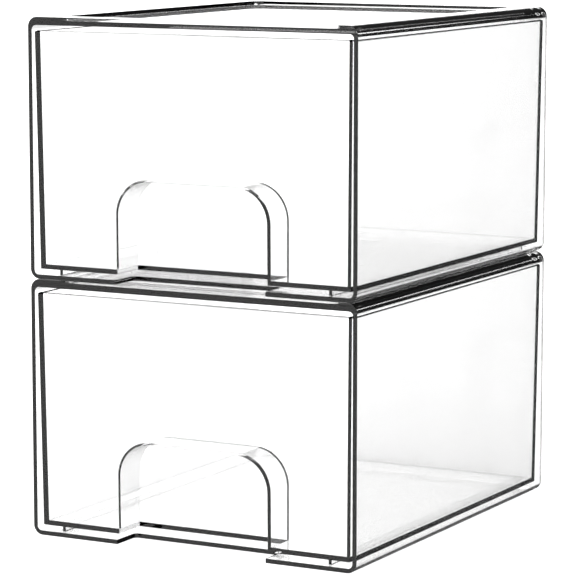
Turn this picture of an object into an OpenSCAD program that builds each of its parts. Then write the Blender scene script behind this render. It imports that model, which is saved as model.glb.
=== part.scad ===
// Stackable drawer box: two identical clear units, each a casing with a drawer that slides out.
// Frame: +Z up, the drawers open towards -Y, the origin is the middle of the footprint on the ground.

/* [Unit] */
// Outside width of one casing
unit_w = 160; // [120:1:260]
// Outside depth of one casing, front to back
unit_d = 195.5; // [130:1:320]
// Height of one casing with its stacking ridge, which is also the pitch of the stack
unit_h = 114; // [85:1:180]
// Radius of the long outer edges of the casing
edge_r = 4.4; // [3:0.2:8]
// Radius of the casing's back edges, upright and level
back_r = 4.4; // [3:0.2:8]
// Radius of the same edges on the inside of the casing
bay_r = 2; // [1:0.1:2.4]

/* [Casing walls] */
// Thickness of the casing's sides and back
casing_wall = 2; // [1.6:0.1:2.6]
// Thickness of the casing's floor
floor_t = 2; // [1.6:0.1:2.6]
// Thickness of the casing's roof, under the stacking ridge
roof_t = 1.7; // [1.4:0.1:2.6]

/* [Stacking ridge] */
// Width of the raised ridge along both sides of the roof
ridge_side_w = 12; // [9:0.5:20]
// Width of the ridge along the front
ridge_front_w = 10; // [6:0.5:20]
// Width of the ridge along the back
ridge_back_w = 15.5; // [9:0.5:20]
// Height of the ridge above the roof
ridge_h = 1.9; // [1:0.1:2.4]
// Radius of the ridge's inner corners, seen from above
ridge_corner_r = 6; // [2:0.5:9]

/* [Runners] */
// Height of the two runners that the drawer slides on
runner_h = 2.2; // [1.5:0.1:4]
// Width of each runner
runner_w = 1.5; // [1:0.1:4]
// Distance from the casing's outer side to the outer side of a runner
runner_inset = 13.2; // [10:0.1:18]
// Distance from the casing's front to the front end of a runner
runner_front = 3; // [1:0.5:10]

/* [Drawer] */
// Thickness of the drawer's walls
drawer_wall = 2; // [1.6:0.1:2.6]
// Thickness of the drawer's floor
drawer_floor_t = 1.9; // [1.5:0.1:2.6]
// Slope of all four drawer walls, in degrees from upright
drawer_draft = 0.6; // [0.2:0.1:1]
// Gap between the drawer's rim and each side of the casing
side_gap = 1; // [0.6:0.1:2]
// Gap between the drawer's rim and the casing's roof
rim_gap = 2.4; // [1:0.1:4]
// Gap between the drawer's back and the casing's back wall
rear_gap = 2.3; // [0.8:0.1:4]
// How far the drawer's front sits behind the casing's front
front_setback = 0.7; // [0.2:0.1:2]
// Running gap between the drawer's floor and the runners
runner_gap = 0.1; // [0.1:0.1:0.5]

/* [Finger recess] */
// Width of the arched finger recess in the drawer's front
recess_w = 73.6; // [50:0.2:90]
// Height of the recess above the underside of the drawer
recess_h = 40.4; // [30:0.2:55]
// Depth of the recess, front to back
recess_d = 18.8; // [14:0.5:30]
// Radius of the arch's two corners
recess_r = 15; // [8:0.5:24]
// Thickness of the wall round the recess
recess_wall = 1; // [0.8:0.1:2]

/* [Finger notch] */
// Depth of the notch in the front edge of the casing's floor, under the finger recess
notch_d = 15; // [8:0.5:18]
// Radius of the notch's back corners
notch_r = 2; // [1:0.5:6]

/* [Hidden] */
$fn = 64;
// Small overlap for cuts that must pass a face
cut = 1;

clear_plastic = [0.93, 0.96, 0.98, 0.45];

front_y = -unit_d / 2;
back_y = unit_d / 2;
roof_top = unit_h - ridge_h;
roof_under = roof_top - roof_t;
bay_w = unit_w - 2 * casing_wall;
bay_back_y = back_y - casing_wall;

// Drawer, measured in the unit's own frame
drawer_z = floor_t + runner_h + runner_gap;
rim_z = roof_under - rim_gap;
rim_half_w = bay_w / 2 - side_gap;
rim_front_y = front_y + front_setback;
rim_back_y = bay_back_y - rear_gap;
slope = tan(drawer_draft);
recess_back_y = front_y + recess_d;
recess_top_z = drawer_z + recess_h;

// A rectangle from corner a to corner b with every corner rounded to radius r
module round_rect(a, b, r) {
    translate([a[0] + r, a[1]]) square([b[0] - a[0] - 2 * r, b[1] - a[1]]);
    translate([a[0], a[1] + r]) square([b[0] - a[0], b[1] - a[1] - 2 * r]);
    for (x = [a[0] + r, b[0] - r])
        for (y = [a[1] + r, b[1] - r])
            translate([x, y]) circle(r = r);
}

// Runs a front-view outline (x across, y up) back from depth y0 to depth y1
module run_back(y0, y1) {
    translate([0, y1, 0])
        rotate([90, 0, 0])
            linear_extrude(height = y1 - y0) children();
}

// A block with rounded long edges and rounded back edges, square at its front.
// It runs from -half_w to half_w across, from y0 back to y1, and from z0 up to z1.
module block(half_w, y0, y1, z0, z1, long_r, rear_r) {
    intersection() {
        run_back(y0, y1)
            round_rect([-half_w, z0], [half_w, z1], long_r);
        translate([0, 0, z0])
            linear_extrude(height = z1 - z0)
                round_rect([-half_w, y0 - 3 * rear_r], [half_w, y1], rear_r);
        rotate([90, 0, 90])
            linear_extrude(height = 2 * half_w, center = true)
                round_rect([y0 - 3 * rear_r, z0], [y1, z1], rear_r);
    }
}

module casing_shell() {
    difference() {
        block(unit_w / 2, front_y, back_y, 0, unit_h, edge_r, back_r);
        // The bay that the drawer slides in, open at the front
        block(bay_w / 2, front_y - cut, bay_back_y, floor_t, roof_under, bay_r, bay_r);
    }
}

// The sunk middle of the roof, which leaves the ridge standing all round it
module roof_recess() {
    half = unit_w / 2 - ridge_side_w;
    translate([0, 0, roof_top])
        linear_extrude(height = ridge_h + cut)
            round_rect([-half, front_y + ridge_front_w], [half, back_y - ridge_back_w], ridge_corner_r);
}

module floor_notch() {
    translate([0, 0, -cut])
        linear_extrude(height = floor_t + 2 * cut)
            round_rect([-recess_w / 2, front_y - 20], [recess_w / 2, front_y + notch_d], notch_r);
}

module runners() {
    x0 = unit_w / 2 - runner_inset - runner_w;
    for (side = [0, 1])
        mirror([side, 0, 0])
            translate([x0, front_y + runner_front, floor_t])
                cube([runner_w, bay_back_y - front_y - runner_front, runner_h]);
}

module casing() {
    difference() {
        casing_shell();
        roof_recess();
        floor_notch();
    }
    runners();
}

// A box whose walls all slope in towards its floor.
// grow moves its walls outwards, z0 and z1 are its lower and upper ends.
module sloped_box(grow, z0, z1) {
    in0 = (rim_z - z0) * slope - grow;
    in1 = (rim_z - z1) * slope - grow;
    intersection() {
        run_back(front_y - unit_d, back_y + unit_d)
            polygon([
                [-rim_half_w + in0, z0], [rim_half_w - in0, z0],
                [rim_half_w - in1, z1], [-rim_half_w + in1, z1]
            ]);
        rotate([90, 0, 90])
            linear_extrude(height = 2 * unit_w, center = true)
                polygon([
                    [rim_front_y + in0, z0], [rim_back_y - in0, z0],
                    [rim_back_y - in1, z1], [rim_front_y + in1, z1]
                ]);
    }
}

// Front-view outline of the arch, grown outwards by g, its legs running below the drawer
module arch(g) {
    half = recess_w / 2 + g;
    intersection() {
        round_rect([-half, drawer_z - 2 * recess_r - 10], [half, recess_top_z + g], recess_r + g);
        translate([-half, drawer_z - cut]) square([2 * half, recess_h + g + cut]);
    }
}

module drawer() {
    difference() {
        union() {
            difference() {
                sloped_box(0, drawer_z, rim_z);
                sloped_box(-drawer_wall, drawer_z + drawer_floor_t, rim_z + cut);
            }
            // Wall round the finger recess, behind the drawer's front
            intersection() {
                run_back(front_y, recess_back_y + recess_wall) arch(recess_wall);
                sloped_box(0, drawer_z, rim_z);
            }
        }
        // The finger recess itself, open at the front and below
        run_back(front_y - cut, recess_back_y) arch(0);
    }
}

module lower_casing() {
    color(clear_plastic) casing();
}

module lower_drawer() {
    color(clear_plastic) drawer();
}

module upper_casing() {
    color(clear_plastic) translate([0, 0, unit_h]) casing();
}

module upper_drawer() {
    color(clear_plastic) translate([0, 0, unit_h]) drawer();
}

lower_casing();
lower_drawer();
upper_casing();
upper_drawer();
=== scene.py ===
"""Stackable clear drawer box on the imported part: two casings, two drawers and a plain studio."""

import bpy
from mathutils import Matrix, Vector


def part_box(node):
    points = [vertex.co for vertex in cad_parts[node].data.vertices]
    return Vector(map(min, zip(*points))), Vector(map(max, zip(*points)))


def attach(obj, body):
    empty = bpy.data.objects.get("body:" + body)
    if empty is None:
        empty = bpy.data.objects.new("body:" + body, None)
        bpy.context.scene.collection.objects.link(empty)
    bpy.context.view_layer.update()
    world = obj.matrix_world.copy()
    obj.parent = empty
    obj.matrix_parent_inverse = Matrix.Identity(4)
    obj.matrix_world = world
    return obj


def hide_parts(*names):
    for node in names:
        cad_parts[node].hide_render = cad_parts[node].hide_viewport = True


bl_info = {
    "name": "Stackable drawer box",
    "version": (1, 0, 0),
    "blender": (4, 5, 0),
    "location": "View3D > Sidebar > Drawer box",
    "description": "Models the clear casings and drawers of a stack of two and lights them",
    "category": "Object",
}

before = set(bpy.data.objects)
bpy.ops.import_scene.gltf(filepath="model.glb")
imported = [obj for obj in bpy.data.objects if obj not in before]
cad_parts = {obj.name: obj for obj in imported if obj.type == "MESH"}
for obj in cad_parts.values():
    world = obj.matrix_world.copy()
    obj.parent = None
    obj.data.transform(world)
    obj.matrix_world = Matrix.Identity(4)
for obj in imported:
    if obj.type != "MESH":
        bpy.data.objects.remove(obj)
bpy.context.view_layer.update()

import math

import bmesh
import bpy
from bpy.props import FloatProperty, FloatVectorProperty, IntProperty, PointerProperty
from mathutils import Matrix, Vector

X_AXIS, Y_AXIS, Z_AXIS = range(3)
MM = 0.001

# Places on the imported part
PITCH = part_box("upper_casing")[0].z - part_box("lower_casing")[0].z
CASING_LO, CASING_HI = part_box("lower_casing")
DRAWER_LO, DRAWER_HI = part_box("lower_drawer")
FRONT = CASING_LO.y
BACK = CASING_HI.y
HALF_WIDTH = CASING_HI.x

# How far a cutting box reaches past what it cuts
CUT = 10 * MM
# An edge with its middle this near a face counts as lying on it
NEAR = 1 * MM
# An edge this little below the drawer's rim still belongs to it
RIM_MARGIN = 0.01 * MM
# The wall round the recess starts this far behind the rim's front, inside the sloping front wall
HOOD_START = 1.2 * MM

# Flat strips that make up each rounding
OUTER_STEPS = 10
BAY_STEPS = 6
RIDGE_STEPS = 10
NOTCH_STEPS = 5
ARCH_STEPS = 16
RIM_STEPS = 6
BROKEN_STEPS = 3
# Edges that turn by more than this are broken to a small radius
SHARP = math.radians(30)
# A face points up or down when its normal's height passes this
LEVEL = 0.9
# An edge runs along an axis when this share of its length does
ALONG = 0.99
# Lets the largest face at a corner set the shading there
LARGEST_FACE = 100

# Ripple of the plastic: waves in a metre, their detail and their depth
WAVES = 22
WAVE_DETAIL = 1
WAVE_DEPTH = 0.2 * MM
# Haze of the plastic: patches in a metre, their detail, and the noise at which it begins and is full
PATCHES = 90
PATCH_DETAIL = 4
HAZE_BEGINS, HAZE_FULL = 0.5, 0.75
REFRACTIVE_INDEX = 1.5

# Studio floor: its width in metres, its roughness, its grains in a metre and the share by which
# they lighten and darken it
FLOOR_WIDTH = 20
FLOOR_ROUGHNESS = 0.8
GRAINS = 300
GRAIN_SHARE = 0.0105
# How often light may be scattered by the floor
DIFFUSE_BOUNCES = 4

# From the stack towards the middle of the white backdrop
BACKDROP_TOWARDS = Vector((-0.47, 0.87, 0)).normalized()
# Half the angle over which the backdrop's sides fade
SIDE_FADE = math.radians(4)
# Sines over which its upper and lower edges fade, mirrored and seen through the plastic
MIRRORED_FADE = 0.08
THROUGH_FADE = 0.1
# Sine over which the front light fades towards the stack's left and right
FRONT_FADE = 0.15

# The photograph's camera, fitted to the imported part: the picture's width in pixels and half a
# pixel as a share of it, lens and sensor in millimetres, the angles round and above the stack,
# and the place and the clipping distances in metres
PHOTO_PIXELS = 576
HALF_PIXEL = 0.5 / PHOTO_PIXELS
LENS = 183.2
SENSOR = 36
CAMERA_TURN = math.radians(28.408)
CAMERA_RISE = math.radians(8.110)
CAMERA_PLACE = Vector((0.62198, -1.06150 + FRONT, 0.29012))
NEAREST, FARTHEST = 0.01, 100


# Modelling helpers

def deselect():
    if bpy.context.object and bpy.context.object.mode != "OBJECT":
        bpy.ops.object.mode_set(mode="OBJECT")
    bpy.ops.object.select_all(action="DESELECT")


def work_on(obj, mode):
    """Makes obj the only selected object, in the mode asked for."""
    deselect()
    obj.select_set(True)
    bpy.context.view_layer.objects.active = obj
    bpy.ops.object.mode_set(mode=mode)


def box(name, lo, hi):
    """A new box from corner lo to corner hi, left in edit mode, its object at the origin."""
    deselect()
    bpy.ops.mesh.primitive_cube_add(size=1, location=(0, 0, 0))
    obj = bpy.context.object
    obj.name = obj.data.name = name
    bpy.ops.object.mode_set(mode="EDIT")
    bpy.ops.mesh.select_all(action="SELECT")
    lo, hi = Vector(lo), Vector(hi)
    bpy.ops.transform.resize(value=hi - lo)
    bpy.ops.transform.translate(value=(lo + hi) / 2)
    return obj


def choose(obj, kind, test):
    """Selects, in edit mode, the edges or faces that pass the test."""
    bpy.context.tool_settings.mesh_select_mode = (False, kind == "edges", kind == "faces")
    mesh = bmesh.from_edit_mesh(obj.data)
    for group in (mesh.verts, mesh.edges, mesh.faces):
        for item in group:
            item.select = False
    chosen = [item for item in getattr(mesh, kind) if test(item)]
    if not chosen:
        raise RuntimeError(f"no {kind} of {obj.name} fit the test")
    for item in chosen:
        item.select_set(True)
    bmesh.update_edit_mesh(obj.data)


def middle(edge):
    return (edge.verts[0].co + edge.verts[1].co) / 2


def runs_along(edge, axis):
    step = edge.verts[1].co - edge.verts[0].co
    return abs(step[axis]) > ALONG * step.length


def round_edges(obj, radius, steps, test):
    choose(obj, "edges", test)
    bpy.ops.mesh.bevel(
        offset=radius, segments=steps, profile=0.5, affect="EDGES", clamp_overlap=False)


def combine(obj, other, operation):
    """Joins other to obj, or cuts it out of obj, and clears it away."""
    work_on(obj, "OBJECT")
    step = obj.modifiers.new("combine", "BOOLEAN")
    step.operation = operation
    step.solver = "EXACT"
    step.object = other
    bpy.ops.object.modifier_apply(modifier=step.name)
    mesh = other.data
    bpy.data.objects.remove(other)
    bpy.data.meshes.remove(mesh)


def soften(obj, radius):
    """Breaks every sharp edge to a small radius and lets flat faces keep their own shading."""
    work_on(obj, "OBJECT")
    step = obj.modifiers.new("broken edges", "BEVEL")
    step.width = radius
    step.segments = BROKEN_STEPS
    step.limit_method = "ANGLE"
    step.angle_limit = SHARP
    step.use_clamp_overlap = True
    step.miter_outer = "MITER_ARC"
    bpy.ops.object.modifier_apply(modifier=step.name)
    bpy.ops.object.shade_smooth()
    step = obj.modifiers.new("flat faces", "WEIGHTED_NORMAL")
    step.mode = "FACE_AREA"
    step.weight = LARGEST_FACE
    bpy.ops.object.modifier_apply(modifier=step.name)


def copy_up(obj, name):
    """A copy of a lower piece, one unit higher, with its own mesh."""
    twin = obj.copy()
    twin.data = obj.data.copy()
    twin.name = twin.data.name = name
    bpy.context.scene.collection.objects.link(twin)
    work_on(twin, "EDIT")
    bpy.ops.mesh.select_all(action="SELECT")
    bpy.ops.transform.translate(value=(0, 0, PITCH))
    bpy.ops.object.mode_set(mode="OBJECT")
    return twin


def coat(obj, material):
    """Makes the material the only one of the piece."""
    obj.data.materials.clear()
    obj.data.materials.append(material)


def place(obj, node):
    """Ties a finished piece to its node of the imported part."""
    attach(obj, node)
    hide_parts(node)


# Settings

class CasingSettings(bpy.types.PropertyGroup):
    wall: FloatProperty(
        name="Wall", description="Thickness of the casing's sides, floor and back",
        default=2 * MM, unit="LENGTH")
    roof: FloatProperty(
        name="Roof", description="Thickness of the roof inside the ridge",
        default=1.7 * MM, unit="LENGTH")
    edge_radius: FloatProperty(
        name="Edge radius", description="Radius of the casing's long and back edges",
        default=4.4 * MM, unit="LENGTH")
    bay_radius: FloatProperty(
        name="Bay radius", description="Radius of the same edges on the inside of the casing",
        default=2 * MM, unit="LENGTH")
    ridge_side: FloatProperty(
        name="Ridge at the sides", description="Width of the stacking ridge along both sides",
        default=12 * MM, unit="LENGTH")
    ridge_back: FloatProperty(
        name="Ridge at the back", description="Width of the stacking ridge along the back",
        default=15.5 * MM, unit="LENGTH")
    ridge_front: FloatProperty(
        name="Ridge at the front", description="Width of the stacking ridge along the front",
        default=10 * MM, unit="LENGTH")
    ridge_height: FloatProperty(
        name="Ridge height", description="Height of the stacking ridge above the roof",
        default=1.9 * MM, unit="LENGTH")
    ridge_corner: FloatProperty(
        name="Ridge corner", description="Radius of the ridge's inner corners, seen from above",
        default=6 * MM, unit="LENGTH")
    ridge_clearance: FloatProperty(
        name="Ridge clearance", description="Air between a ridge and the unit that stands on it",
        default=0.05 * MM, unit="LENGTH")
    runner_height: FloatProperty(
        name="Runner height", description="Height of the runners above the casing's floor",
        default=2.2 * MM, unit="LENGTH")
    runner_width: FloatProperty(
        name="Runner width", description="Width of a runner",
        default=1.5 * MM, unit="LENGTH")
    runner_inset: FloatProperty(
        name="Runner inset", description="Distance from the casing's side to the side of a runner",
        default=13.2 * MM, unit="LENGTH")
    runner_front: FloatProperty(
        name="Runner front", description="Distance from the casing's front to the end of a runner",
        default=3 * MM, unit="LENGTH")
    notch_width: FloatProperty(
        name="Notch width", description="Width of the notch in the front of the casing's floor",
        default=73.6 * MM, unit="LENGTH")
    notch_depth: FloatProperty(
        name="Notch depth", description="Depth of the notch, front to back",
        default=15 * MM, unit="LENGTH")
    notch_corner: FloatProperty(
        name="Notch corner", description="Radius of the notch's back corners",
        default=2 * MM, unit="LENGTH")
    broken_edge: FloatProperty(
        name="Broken edge", description="Small radius on the casing's remaining edges",
        default=0.06 * MM, unit="LENGTH")


class DrawerSettings(bpy.types.PropertyGroup):
    wall: FloatProperty(
        name="Wall", description="Thickness of the drawer's walls",
        default=2 * MM, unit="LENGTH")
    floor: FloatProperty(
        name="Floor", description="Thickness of the drawer's floor",
        default=1.9 * MM, unit="LENGTH")
    draft: FloatProperty(
        name="Draft", description="Slope of the drawer's walls from upright",
        default=math.radians(0.6), unit="ROTATION")
    recess_width: FloatProperty(
        name="Recess width", description="Width of the arched finger recess",
        default=73.6 * MM, unit="LENGTH")
    recess_height: FloatProperty(
        name="Recess height", description="Height of the finger recess above the drawer's underside",
        default=40.4 * MM, unit="LENGTH")
    recess_depth: FloatProperty(
        name="Recess depth", description="Depth of the finger recess behind the casing's front",
        default=18.8 * MM, unit="LENGTH")
    arch_radius: FloatProperty(
        name="Arch radius", description="Radius of the recess's two upper corners",
        default=15 * MM, unit="LENGTH")
    recess_wall: FloatProperty(
        name="Recess wall", description="Thickness of the wall round the finger recess",
        default=1 * MM, unit="LENGTH")
    rim_radius: FloatProperty(
        name="Rim radius", description="Radius of the drawer's rim",
        default=0.7 * MM, unit="LENGTH")
    broken_edge: FloatProperty(
        name="Broken edge", description="Small radius on the drawer's remaining edges",
        default=0.08 * MM, unit="LENGTH")


class PlasticSettings(bpy.types.PropertyGroup):
    density: FloatProperty(
        name="Density", description="How fast the clear plastic swallows light, per metre",
        default=12)
    ripple: FloatProperty(
        name="Ripple", description="Strength of the faint waviness of the moulded faces",
        default=0.01)
    haze: FloatProperty(
        name="Haze", description="Roughness of the haziest patches of the plastic",
        default=0.012)


class StudioSettings(bpy.types.PropertyGroup):
    backdrop: FloatProperty(
        name="Backdrop", description="Brightness of the white studio",
        default=1.06)
    backdrop_height: FloatProperty(
        name="Backdrop height",
        description="Sine of the angle from level at which the backdrop seen through the plastic ends",
        default=0.34)
    mirror: FloatProperty(
        name="Mirrored backdrop", description="Brightness of the white backdrop in reflections",
        default=2)
    mirror_angle: FloatProperty(
        name="Mirrored angle", description="Half the angle that the white backdrop fills in reflections",
        default=math.radians(36), unit="ROTATION")
    mirror_height: FloatProperty(
        name="Mirrored height",
        description="Sine of the angle from level at which the white in reflections ends",
        default=0.26)
    front: FloatProperty(
        name="Front light", description="Brightness of the front light in reflections",
        default=1.2)
    flags: FloatProperty(
        name="Flags", description="Brightness of the dark parts of the studio",
        default=0.08)
    floor_color: FloatVectorProperty(
        name="Floor", description="Colour of the studio floor", subtype="COLOR",
        default=(0.95, 0.95, 0.95))
    floor_glow: FloatProperty(
        name="Floor glow", description="Light from under the translucent studio floor",
        default=0.8)
    floor_drop: FloatProperty(
        name="Floor drop", description="Distance of the studio floor below the lowest casing",
        default=0.4 * MM, unit="LENGTH")
    bounces: IntProperty(
        name="Bounces", description="How many clear faces light may pass",
        default=24)
    mirrorings: IntProperty(
        name="Mirrorings", description="How often light may be mirrored inside the clear walls",
        default=4)


# Materials

def moulded_skin():
    """Node group: the faint ripple and haze patches of polished moulded plastic."""
    name = "moulded skin"
    if name in bpy.data.node_groups:
        return bpy.data.node_groups[name]
    group = bpy.data.node_groups.new(name, "ShaderNodeTree")
    for label in ("Ripple", "Haze"):
        group.interface.new_socket(label, in_out="INPUT", socket_type="NodeSocketFloat")
    group.interface.new_socket("Roughness", in_out="OUTPUT", socket_type="NodeSocketFloat")
    group.interface.new_socket("Normal", in_out="OUTPUT", socket_type="NodeSocketVector")
    node, link = group.nodes.new, group.links.new
    given, result = node("NodeGroupInput"), node("NodeGroupOutput")
    where = node("ShaderNodeTexCoord")
    waves = node("ShaderNodeTexNoise")
    waves.inputs["Scale"].default_value = WAVES
    waves.inputs["Detail"].default_value = WAVE_DETAIL
    link(where.outputs["Object"], waves.inputs["Vector"])
    bump = node("ShaderNodeBump")
    bump.inputs["Distance"].default_value = WAVE_DEPTH
    link(waves.outputs["Fac"], bump.inputs["Height"])
    link(given.outputs["Ripple"], bump.inputs["Strength"])
    link(bump.outputs["Normal"], result.inputs["Normal"])
    patches = node("ShaderNodeTexNoise")
    patches.inputs["Scale"].default_value = PATCHES
    patches.inputs["Detail"].default_value = PATCH_DETAIL
    link(where.outputs["Object"], patches.inputs["Vector"])
    spread = node("ShaderNodeMapRange")
    spread.inputs["From Min"].default_value = HAZE_BEGINS
    spread.inputs["From Max"].default_value = HAZE_FULL
    link(patches.outputs["Fac"], spread.inputs["Value"])
    link(given.outputs["Haze"], spread.inputs["To Max"])
    link(spread.outputs["Result"], result.inputs["Roughness"])
    return group


def clear_plastic(name, settings):
    """Clear plastic: bright straight through, dark along the long way through a wall."""
    material = bpy.data.materials.new(name)
    material.use_nodes = True
    tree = material.node_tree
    shader = tree.nodes["Principled BSDF"]
    shader.inputs["Base Color"].default_value = (1, 1, 1, 1)
    shader.inputs["Metallic"].default_value = 0
    shader.inputs["Transmission Weight"].default_value = 1
    shader.inputs["IOR"].default_value = REFRACTIVE_INDEX
    skin = tree.nodes.new("ShaderNodeGroup")
    skin.node_tree = moulded_skin()
    skin.inputs["Ripple"].default_value = settings.ripple
    skin.inputs["Haze"].default_value = settings.haze
    tree.links.new(skin.outputs["Roughness"], shader.inputs["Roughness"])
    tree.links.new(skin.outputs["Normal"], shader.inputs["Normal"])
    body = tree.nodes.new("ShaderNodeVolumeAbsorption")
    body.inputs["Density"].default_value = settings.density
    body.inputs["Color"].default_value = (0, 0, 0, 1)
    tree.links.new(body.outputs["Volume"], tree.nodes["Material Output"].inputs["Volume"])
    return material


def floor_paint(look):
    """Matt white studio floor with a little grain, lit a little from within."""
    material = bpy.data.materials.new("studio floor")
    material.use_nodes = True
    tree = material.node_tree
    shader = tree.nodes["Principled BSDF"]
    shader.inputs["Specular IOR Level"].default_value = 0
    shader.inputs["Roughness"].default_value = FLOOR_ROUGHNESS
    shader.inputs["Emission Strength"].default_value = look.floor_glow
    shader.inputs["Emission Color"].default_value = (1, 1, 1, 1)
    where = tree.nodes.new("ShaderNodeTexCoord")
    grain = tree.nodes.new("ShaderNodeTexNoise")
    grain.inputs["Scale"].default_value = GRAINS
    tree.links.new(where.outputs["Object"], grain.inputs["Vector"])
    tint = tree.nodes.new("ShaderNodeMapRange")
    tint.inputs["To Min"].default_value = 1 - GRAIN_SHARE
    tint.inputs["To Max"].default_value = 1 + GRAIN_SHARE
    tree.links.new(grain.outputs["Fac"], tint.inputs["Value"])
    tinted = tree.nodes.new("ShaderNodeVectorMath")
    tinted.operation = "SCALE"
    tinted.inputs[0].default_value = look.floor_color
    tree.links.new(tint.outputs["Result"], tinted.inputs["Scale"])
    tree.links.new(tinted.outputs["Vector"], shader.inputs["Base Color"])
    # What the plastic mirrors looks past the floor, to the studio behind it
    path = tree.nodes.new("ShaderNodeLightPath")
    open_air = tree.nodes.new("ShaderNodeBsdfTransparent")
    switch = tree.nodes.new("ShaderNodeMixShader")
    tree.links.new(path.outputs["Glossy Depth"], switch.inputs["Fac"])
    tree.links.new(shader.outputs["BSDF"], switch.inputs[1])
    tree.links.new(open_air.outputs["BSDF"], switch.inputs[2])
    tree.links.new(switch.outputs["Shader"], tree.nodes["Material Output"].inputs["Surface"])
    return material


# The casings

def upright_behind_front(edge):
    return runs_along(edge, Z_AXIS) and middle(edge).y > FRONT


def hollow_shell(size, top, roof_under):
    """The casing's outside, with the drawer's bay cut into it from the front."""
    def long_or_back(edge):
        return runs_along(edge, Y_AXIS) or middle(edge).y > BACK - size.wall - NEAR

    casing = box("lower_casing_shell", CASING_LO, (HALF_WIDTH, BACK, top))
    round_edges(casing, size.edge_radius, OUTER_STEPS, long_or_back)
    bay = box(
        "bay",
        (-HALF_WIDTH + size.wall, FRONT - CUT, size.wall),
        (HALF_WIDTH - size.wall, BACK - size.wall, roof_under))
    round_edges(bay, size.bay_radius, BAY_STEPS, long_or_back)
    combine(casing, bay, "DIFFERENCE")
    return casing


def sink_roof(casing, size, roof_top, top):
    """Sinks the middle of the roof, which leaves the stacking ridge standing round it."""
    sunk = box(
        "sunk roof",
        (-HALF_WIDTH + size.ridge_side, FRONT + size.ridge_front, roof_top),
        (HALF_WIDTH - size.ridge_side, BACK - size.ridge_back, top + CUT))
    round_edges(sunk, size.ridge_corner, RIDGE_STEPS, upright_behind_front)
    combine(casing, sunk, "DIFFERENCE")


def notch_floor(casing, size):
    """Cuts the finger notch into the front edge of the floor."""
    notch = box(
        "notch",
        (-size.notch_width / 2, FRONT - CUT, -CUT),
        (size.notch_width / 2, FRONT + size.notch_depth, 2 * size.wall))
    round_edges(notch, size.notch_corner, NOTCH_STEPS, upright_behind_front)
    combine(casing, notch, "DIFFERENCE")


def add_runners(casing, size):
    """Adds the two runners, each let into the floor and the back wall by half their thickness."""
    for side in (-1, 1):
        across = side * (HALF_WIDTH - size.runner_inset - size.runner_width / 2)
        runner = box(
            "runner",
            (across - size.runner_width / 2, FRONT + size.runner_front, size.wall / 2),
            (across + size.runner_width / 2, BACK - size.wall / 2, size.wall + size.runner_height))
        combine(casing, runner, "UNION")


class DRAWERBOX_OT_add_casings(bpy.types.Operator):
    """Model the lower casing and copy it up for the upper one"""
    bl_idname = "drawerbox.add_casings"
    bl_label = "Add casings"

    def execute(self, context):
        size = context.scene.casing
        top = CASING_HI.z - size.ridge_clearance
        roof_top = CASING_HI.z - size.ridge_height
        casing = hollow_shell(size, top, roof_top - size.roof)
        sink_roof(casing, size, roof_top, top)
        notch_floor(casing, size)
        add_runners(casing, size)
        soften(casing, size.broken_edge)
        coat(casing, clear_plastic("clear_casing", context.scene.plastic))
        upper = copy_up(casing, "upper_casing_shell")
        place(casing, "lower_casing")
        place(upper, "upper_casing")
        return {"FINISHED"}


# The drawers

def sloping_tray(size, bottom, inside, rim):
    """The drawer as an open tray, widest at its rim, with walls that slope in towards its floor."""
    centre = (DRAWER_LO + DRAWER_HI) / 2
    half = (DRAWER_HI - DRAWER_LO) / 2

    def fit_to_slope(height, inset):
        """Draws a level face in from its outline at the rim to that at the given height."""
        lean = (rim - height) * math.tan(size.draft)
        shrink = [(half[axis] - lean - inset) / (half[axis] - inset) for axis in (X_AXIS, Y_AXIS)]
        bpy.ops.transform.resize(value=shrink + [1], center_override=(centre.x, centre.y, height))

    drawer = box("lower_drawer_tray", DRAWER_LO, DRAWER_HI)
    choose(drawer, "faces", lambda face: face.normal.z < -LEVEL)
    fit_to_slope(bottom, 0)
    choose(drawer, "faces", lambda face: face.normal.z > LEVEL)
    bpy.ops.mesh.inset(thickness=size.wall)
    bpy.ops.mesh.extrude_region_move(TRANSFORM_OT_translate={"value": (0, 0, inside - rim)})
    fit_to_slope(inside, size.wall)
    return drawer


def push_in_recess(drawer, size, bottom, inside):
    """Gives the front its arched finger recess: a hood behind the front wall, hollowed from it."""
    def long_on_top(height):
        return lambda edge: runs_along(edge, Y_AXIS) and middle(edge).z > height - NEAR

    arch_top = bottom + size.recess_height
    hood_top = arch_top + size.recess_wall
    recess_back = FRONT + size.recess_depth
    hood_foot = inside - size.floor / 2
    hood = box(
        "hood",
        (-size.recess_width / 2 - size.recess_wall, DRAWER_LO.y + HOOD_START, hood_foot),
        (size.recess_width / 2 + size.recess_wall, recess_back + size.recess_wall, hood_top))
    round_edges(hood, size.arch_radius + size.recess_wall, ARCH_STEPS, long_on_top(hood_top))
    combine(drawer, hood, "UNION")
    hollow = box(
        "hollow",
        (-size.recess_width / 2, FRONT - CUT, bottom - CUT),
        (size.recess_width / 2, recess_back, arch_top))
    round_edges(hollow, size.arch_radius, ARCH_STEPS, long_on_top(arch_top))
    combine(drawer, hollow, "DIFFERENCE")


def round_rim(drawer, size, rim):
    def at_rim(edge):
        return min(corner.co.z for corner in edge.verts) > rim - RIM_MARGIN

    work_on(drawer, "EDIT")
    round_edges(drawer, size.rim_radius, RIM_STEPS, at_rim)


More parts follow.
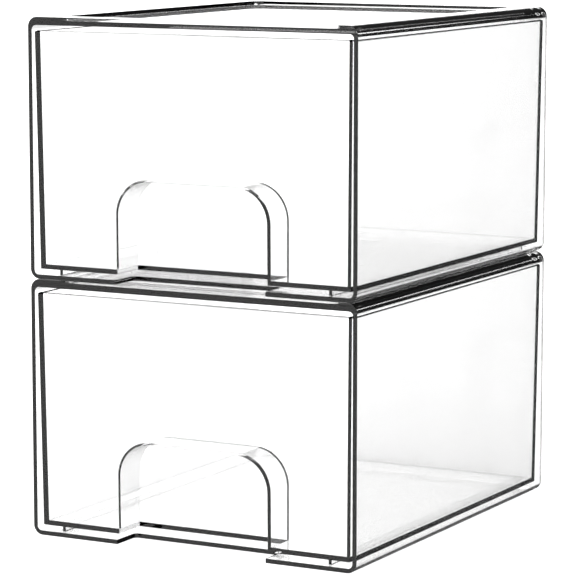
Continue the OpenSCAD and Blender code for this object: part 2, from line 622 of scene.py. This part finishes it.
class DRAWERBOX_OT_add_drawers(bpy.types.Operator):
    """Model the lower drawer with its finger recess and copy it up for the upper one"""
    bl_idname = "drawerbox.add_drawers"
    bl_label = "Add drawers"

    def execute(self, context):
        size = context.scene.drawer
        bottom, rim = DRAWER_LO.z, DRAWER_HI.z
        inside = bottom + size.floor
        drawer = sloping_tray(size, bottom, inside, rim)
        push_in_recess(drawer, size, bottom, inside)
        round_rim(drawer, size, rim)
        soften(drawer, size.broken_edge)
        coat(drawer, clear_plastic("clear_drawer", context.scene.plastic))
        upper = copy_up(drawer, "upper_drawer_tray")
        place(drawer, "lower_drawer")
        place(upper, "upper_drawer")
        return {"FINISHED"}


# The studio

def light_studio(tree, look):
    """A white studio, dark in places only for what the plastic mirrors or lets through."""
    node, link = tree.nodes.new, tree.links.new
    background = tree.nodes["Background"]
    background.inputs["Color"].default_value = (1, 1, 1, 1)

    def value(operation, *parts):
        """One calculation on numbers and on outputs of other nodes."""
        step = node("ShaderNodeMath")
        step.operation = operation
        for socket, part in zip(step.inputs, parts):
            if isinstance(part, bpy.types.NodeSocket):
                link(part, socket)
            else:
                socket.default_value = part
        return step.outputs[0]

    def ramp(source, low, high, start, end):
        """Goes smoothly from start to end while the source goes from low to high."""
        step = node("ShaderNodeMapRange")
        step.interpolation_type = "SMOOTHSTEP"
        for label, number in zip(("From Min", "From Max", "To Min", "To Max"), (low, high, start, end)):
            step.inputs[label].default_value = number
        link(source, step.inputs["Value"])
        return step.outputs["Result"]

    def choose_between(switch, off, on):
        """The off value where the switch is 0, the on value where it is 1."""
        step = value("MULTIPLY", switch, value("SUBTRACT", on, off))
        return value("ADD", off, step)

    towards = node("ShaderNodeTexCoord").outputs["Generated"]
    along = node("ShaderNodeSeparateXYZ")
    link(towards, along.inputs[0])
    level = value("ABSOLUTE", along.outputs["Z"])

    # What the plastic mirrors: the backdrop, the front light and dark parts all round
    facing = node("ShaderNodeVectorMath")
    facing.operation = "DOT_PRODUCT"
    facing.inputs[1].default_value = BACKDROP_TOWARDS
    link(towards, facing.inputs[0])
    wide = math.cos(look.mirror_angle + SIDE_FADE)
    narrow = math.cos(look.mirror_angle - SIDE_FADE)
    backdrop = ramp(facing.outputs["Value"], wide, narrow, 0, look.mirror)
    front = ramp(along.outputs["Y"], -FRONT_FADE, 0, look.front, 0)
    low = ramp(level, look.mirror_height, look.mirror_height + MIRRORED_FADE, 1, 0)
    lit = value("MULTIPLY", low, value("MAXIMUM", backdrop, front))
    mirrored = value("MAXIMUM", lit, look.flags)

    # What is seen through the plastic: white, and dark far above and below
    through = ramp(
        level, look.backdrop_height, look.backdrop_height + THROUGH_FADE, look.backdrop, look.flags)

    path = node("ShaderNodeLightPath")

    def after(depth):
        """1 where the light path has met such a surface, and 0 elsewhere."""
        return value("GREATER_THAN", path.outputs[depth], 0.5)

    light = choose_between(after("Glossy Depth"), through, mirrored)
    light = choose_between(after("Diffuse Depth"), light, look.backdrop)
    light = choose_between(after("Ray Depth"), look.backdrop, light)
    link(light, background.inputs["Strength"])


def aim_camera(camera):
    """Looks at the stack's right front corner from a little above, as the photograph does."""
    lens = camera.data
    lens.sensor_width = SENSOR
    lens.lens = LENS
    lens.clip_start, lens.clip_end = NEAREST, FARTHEST
    lens.shift_x, lens.shift_y = -HALF_PIXEL, HALF_PIXEL
    reach = math.cos(CAMERA_RISE)
    back = Vector((math.sin(CAMERA_TURN) * reach, -math.cos(CAMERA_TURN) * reach, math.sin(CAMERA_RISE)))
    right = Vector((math.cos(CAMERA_TURN), math.sin(CAMERA_TURN), 0))
    view = Matrix((right, back.cross(right), back)).transposed().to_4x4()
    view.translation = CAMERA_PLACE
    camera.matrix_world = view


class DRAWERBOX_OT_add_studio(bpy.types.Operator):
    """Set up the pale floor, the soft white light and the camera"""
    bl_idname = "drawerbox.add_studio"
    bl_label = "Add studio"

    def execute(self, context):
        look = context.scene.studio
        deselect()
        bpy.ops.mesh.primitive_plane_add(size=FLOOR_WIDTH, location=(0, 0, -look.floor_drop))
        floor = bpy.context.object
        floor.name = floor.data.name = "studio_floor"
        bpy.ops.object.transform_apply(location=True, rotation=True, scale=True)
        coat(floor, floor_paint(look))

        world = bpy.data.worlds.new("white studio")
        context.scene.world = world
        world.use_nodes = True
        light_studio(world.node_tree, look)

        camera = bpy.data.objects.new("camera", bpy.data.cameras.new("camera"))
        context.scene.collection.objects.link(camera)
        context.scene.camera = camera
        aim_camera(camera)

        context.scene.view_settings.view_transform = "Standard"
        context.scene.cycles.max_bounces = look.bounces
        context.scene.cycles.transmission_bounces = look.bounces
        context.scene.cycles.glossy_bounces = look.mirrorings
        context.scene.cycles.diffuse_bounces = DIFFUSE_BOUNCES
        return {"FINISHED"}


# The add-on

OPERATORS = (DRAWERBOX_OT_add_casings, DRAWERBOX_OT_add_drawers, DRAWERBOX_OT_add_studio)
GROUPS = {
    "casing": CasingSettings,
    "drawer": DrawerSettings,
    "plastic": PlasticSettings,
    "studio": StudioSettings,
}


class DRAWERBOX_PT_panel(bpy.types.Panel):
    """Sizes, plastic and studio of the drawer box"""
    bl_label = "Drawer box"
    bl_idname = "DRAWERBOX_PT_panel"
    bl_space_type = "VIEW_3D"
    bl_region_type = "UI"
    bl_category = "Drawer box"

    def draw(self, context):
        for group in GROUPS:
            column = self.layout.column(align=True)
            column.label(text=group.capitalize())
            settings = getattr(context.scene, group)
            for key in settings.__annotations__:
                column.prop(settings, key)
        for operator in OPERATORS:
            self.layout.operator(operator.bl_idname)


def register():
    for cls in (*GROUPS.values(), *OPERATORS, DRAWERBOX_PT_panel):
        bpy.utils.register_class(cls)
    for name, cls in GROUPS.items():
        setattr(bpy.types.Scene, name, PointerProperty(type=cls))


def unregister():
    for name in GROUPS:
        delattr(bpy.types.Scene, name)
    for cls in reversed((*GROUPS.values(), *OPERATORS, DRAWERBOX_PT_panel)):
        bpy.utils.unregister_class(cls)


def main():
    register()
    bpy.ops.drawerbox.add_casings()
    bpy.ops.drawerbox.add_drawers()
    bpy.ops.drawerbox.add_studio()


if __name__ == "__main__":
    main()
